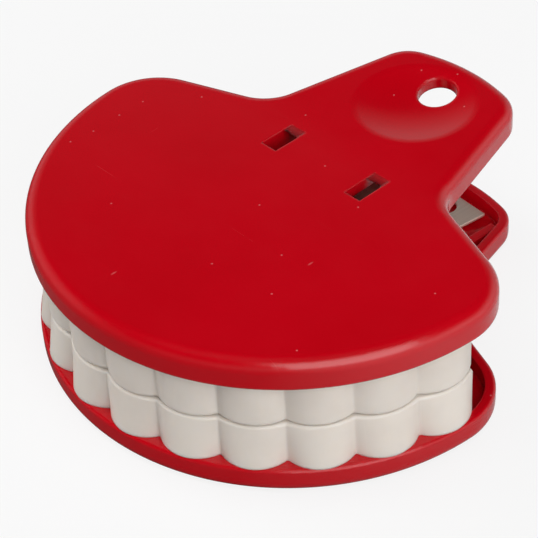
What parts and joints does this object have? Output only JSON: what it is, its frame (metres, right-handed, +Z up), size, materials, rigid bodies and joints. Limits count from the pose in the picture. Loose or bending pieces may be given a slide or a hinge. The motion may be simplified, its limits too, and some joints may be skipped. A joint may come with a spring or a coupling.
{
  "type": "spring clip",
  "caption": "Mouth-shaped spring clip: two hinged plastic jaws with scalloped tooth rows, flared handles with thumb dishes and a key hole, pushed shut by a steel leaf spring.",
  "frame": {"origin": "middle of the clip's footprint, on the surface that it rests on", "axes": "+X across the jaws, +Y from the mouth towards the handles, +Z up"},
  "size_m": [0.0638, 0.0642, 0.022],
  "materials": {
    "jaw_plastic": "glossy injection-moulded red plastic",
    "tooth_plastic": "satin warm white plastic",
    "spring_steel": "rolled spring steel strip"
  },
  "bodies": {
    "lower": {"lower_jaw": "jaw_plastic", "lower_teeth": "tooth_plastic", "leaf_spring": "spring_steel"},
    "upper": {"upper_jaw": "jaw_plastic", "upper_teeth": "tooth_plastic"}
  },
  "joints": [
    {"name": "jaw_hinge", "type": "hinge", "parent": "lower", "child": "upper", "pos_m": [0, 0.00579, 0.01063], "axis": [-1, 0, 0], "range_deg": [0, 30], "stiffness_Nm_per_rad": 0.2, "springref_deg": -20.05, "deforming": ["leaf_spring"]}
  ]
}
